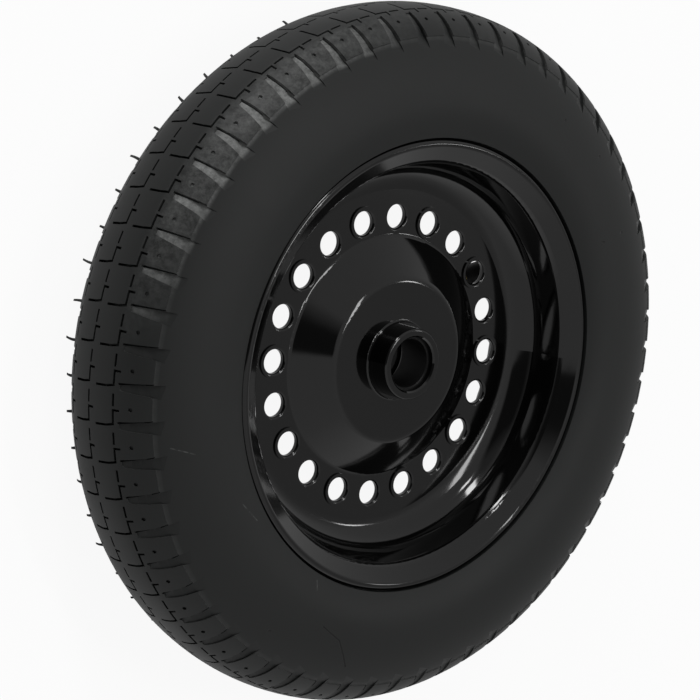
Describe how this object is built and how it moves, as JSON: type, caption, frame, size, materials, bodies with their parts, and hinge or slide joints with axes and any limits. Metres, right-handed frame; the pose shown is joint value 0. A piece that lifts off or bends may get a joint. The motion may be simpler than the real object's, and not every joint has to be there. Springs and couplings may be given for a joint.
{
  "type": "wheelbarrow wheel",
  "caption": "Pneumatic wheelbarrow wheel: block-tread tyre with inner tube on a split pressed-steel rim with a ring of clinched eyelets, around a tube hub with sleeve bushes.",
  "frame": {"origin": "centre of the wheel, on the axle's axis in the plane where the two rim halves meet", "axes": "+Z along the axle's axis, out of the face that the picture shows; the wheel lies flat"},
  "size_m": [0.36, 0.36, 0.0764],
  "materials": {
    "tyre": "matte moulded rubber",
    "tube_rubber": "soft butyl rubber",
    "valve_brass": "turned",
    "valve_cap": "moulded",
    "rim_enamel": "gloss black enamel",
    "bush": "black nylon sleeve"
  },
  "bodies": {
    "root": {"tyre": "tyre", "inner_tube": "tube_rubber", "valve_stem": "valve_brass", "valve_core": "valve_brass", "valve_cap": "valve_cap", "rim_half_front": "rim_enamel", "rim_half_rear": "rim_enamel", "hub_tube": "rim_enamel", "axle_bush_front": "bush", "axle_bush_rear": "bush"}
  },
  "joints": []
}
